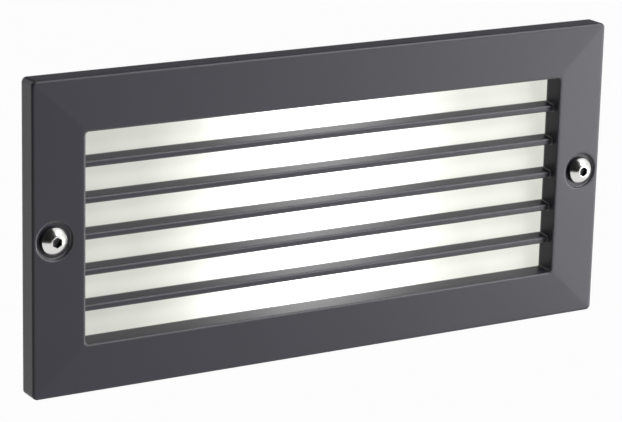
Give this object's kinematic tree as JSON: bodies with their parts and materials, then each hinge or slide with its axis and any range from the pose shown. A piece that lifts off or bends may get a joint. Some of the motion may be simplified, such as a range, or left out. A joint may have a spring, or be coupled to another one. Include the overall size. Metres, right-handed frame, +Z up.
{
  "type": "recessed_louvre_step_light",
  "caption": "Recessed wall step light with a dark louvred cover over lit frosted glass, two socket screws, LED unit, driver, lever terminals and a cast recess box",
  "frame": {"origin": "Middle of the wall face behind the cover, which is the middle of the four wall fixings", "axes": "+X to the right, +Z up, +Y into the wall; the cover faces -Y"},
  "size_m": [0.23, 0.0668, 0.1146],
  "materials": {
    "anthracite_coat": "fine satin powder coat on die-cast aluminium",
    "frosted_glass": "frosted opal toughened glass, lit from behind",
    "clear_silicone": "translucent silicone",
    "stainless_steel": "bright turned stainless steel",
    "sealing_rubber": "black sealing rubber",
    "brass": "turned brass",
    "cast_aluminium": "plain die-cast aluminium",
    "foam_rubber": "closed-cell foam rubber",
    "plate_aluminium": "plain aluminium sheet",
    "white_plastic": "white moulded plastic",
    "zinc_screws": "zinc-plated steel",
    "thermal_pad": "soft grey-blue heat pad",
    "board_white": "white solder mask on a metal board",
    "led_phosphor": "white package with a yellow phosphor window",
    "driver_plastic": "pale grey moulded plastic",
    "board_green": "green circuit board",
    "ferrite": "dark ferrite and yellow tape",
    "capacitor_sleeve": "printed-free dark sleeve",
    "terminal_grey": "grey moulded plastic",
    "lever_brown": "brown moulded plastic",
    "lever_blue": "blue moulded plastic",
    "lever_green": "green moulded plastic",
    "tinned_copper": "tinned copper strip",
    "spring_steel": "spring steel strip",
    "lead_red": "silicone-covered wire",
    "lead_brown": "insulated mains wire",
    "lead_green": "green and yellow insulated wire",
    "gland_nylon": "black moulded nylon"
  },
  "bodies": {
    "housing": {"recess_box": "cast_aluminium", "screw_inserts": "brass", "wall_gasket": "foam_rubber", "gear_plate": "plate_aluminium", "reflector_tray": "white_plastic", "unit_screws": "zinc_screws", "heat_pad": "thermal_pad", "led_board": "board_white", "board_screws": "zinc_screws", "led_chips": "led_phosphor", "board_connector": "white_plastic", "driver_base": "driver_plastic", "driver_lid": "driver_plastic", "driver_board": "board_green", "driver_transformer": "ferrite", "driver_capacitors": "capacitor_sleeve", "driver_screws": "zinc_screws", "terminal_block": "terminal_grey", "terminal_busbars": "tinned_copper", "terminal_springs": "spring_steel", "terminal_screws": "zinc_screws", "led_leads": "lead_red", "mains_leads": "lead_brown", "earth_lead": "lead_green", "earth_lug": "tinned_copper", "earth_screw": "zinc_screws", "gland_body": "gland_nylon", "gland_washer": "sealing_rubber", "gland_locknut": "gland_nylon", "gland_seal": "sealing_rubber", "gland_cap": "gland_nylon", "blanking_plug": "gland_nylon", "plug_washer": "sealing_rubber", "plug_locknut": "gland_nylon"},
    "front_cover": {"louvre_fascia": "anthracite_coat", "diffuser_glass": "frosted_glass", "glass_gasket": "clear_silicone"},
    "left_washer": {"left_screw_washer": "sealing_rubber"},
    "left_screw": {"left_cover_screw": "stainless_steel"},
    "right_washer": {"right_screw_washer": "sealing_rubber"},
    "right_screw": {"right_cover_screw": "stainless_steel"},
    "live_arm": {"live_lever": "lever_brown"},
    "neutral_arm": {"neutral_lever": "lever_blue"},
    "earth_arm": {"earth_lever": "lever_green"}
  },
  "joints": [
    {"name": "cover_lift", "type": "slide", "parent": "housing", "child": "front_cover", "axis": [0, -1, 0], "range_m": [0, 0.06]},
    {"name": "left_screw_lift", "type": "slide", "parent": "front_cover", "child": "left_washer", "axis": [0, -1, 0], "range_m": [0, 0.0072]},
    {"name": "left_screw_turn", "type": "hinge", "parent": "left_washer", "child": "left_screw", "pos_m": [-0.107, -0.006, 0], "axis": [0, -1, 0], "range_deg": [0, 3240]},
    {"name": "right_screw_lift", "type": "slide", "parent": "front_cover", "child": "right_washer", "axis": [0, -1, 0], "range_m": [0, 0.0072]},
    {"name": "right_screw_turn", "type": "hinge", "parent": "right_washer", "child": "right_screw", "pos_m": [0.107, -0.006, 0], "axis": [0, -1, 0], "range_deg": [0, 3240]},
    {"name": "live_lever_swing", "type": "hinge", "parent": "housing", "child": "live_arm", "pos_m": [0.05, 0.04125, -0.003], "axis": [-1, 0, 0], "range_deg": [0, 85]},
    {"name": "neutral_lever_swing", "type": "hinge", "parent": "housing", "child": "neutral_arm", "pos_m": [0.058, 0.04125, -0.003], "axis": [-1, 0, 0], "range_deg": [0, 85]},
    {"name": "earth_lever_swing", "type": "hinge", "parent": "housing", "child": "earth_arm", "pos_m": [0.066, 0.04125, -0.003], "axis": [-1, 0, 0], "range_deg": [0, 85]}
  ],
  "couplings": [
    {"joint": "left_screw_turn", "follows": "left_screw_lift", "rad_per_m": 7853.9},
    {"joint": "right_screw_turn", "follows": "right_screw_lift", "rad_per_m": 7853.9}
  ]
}
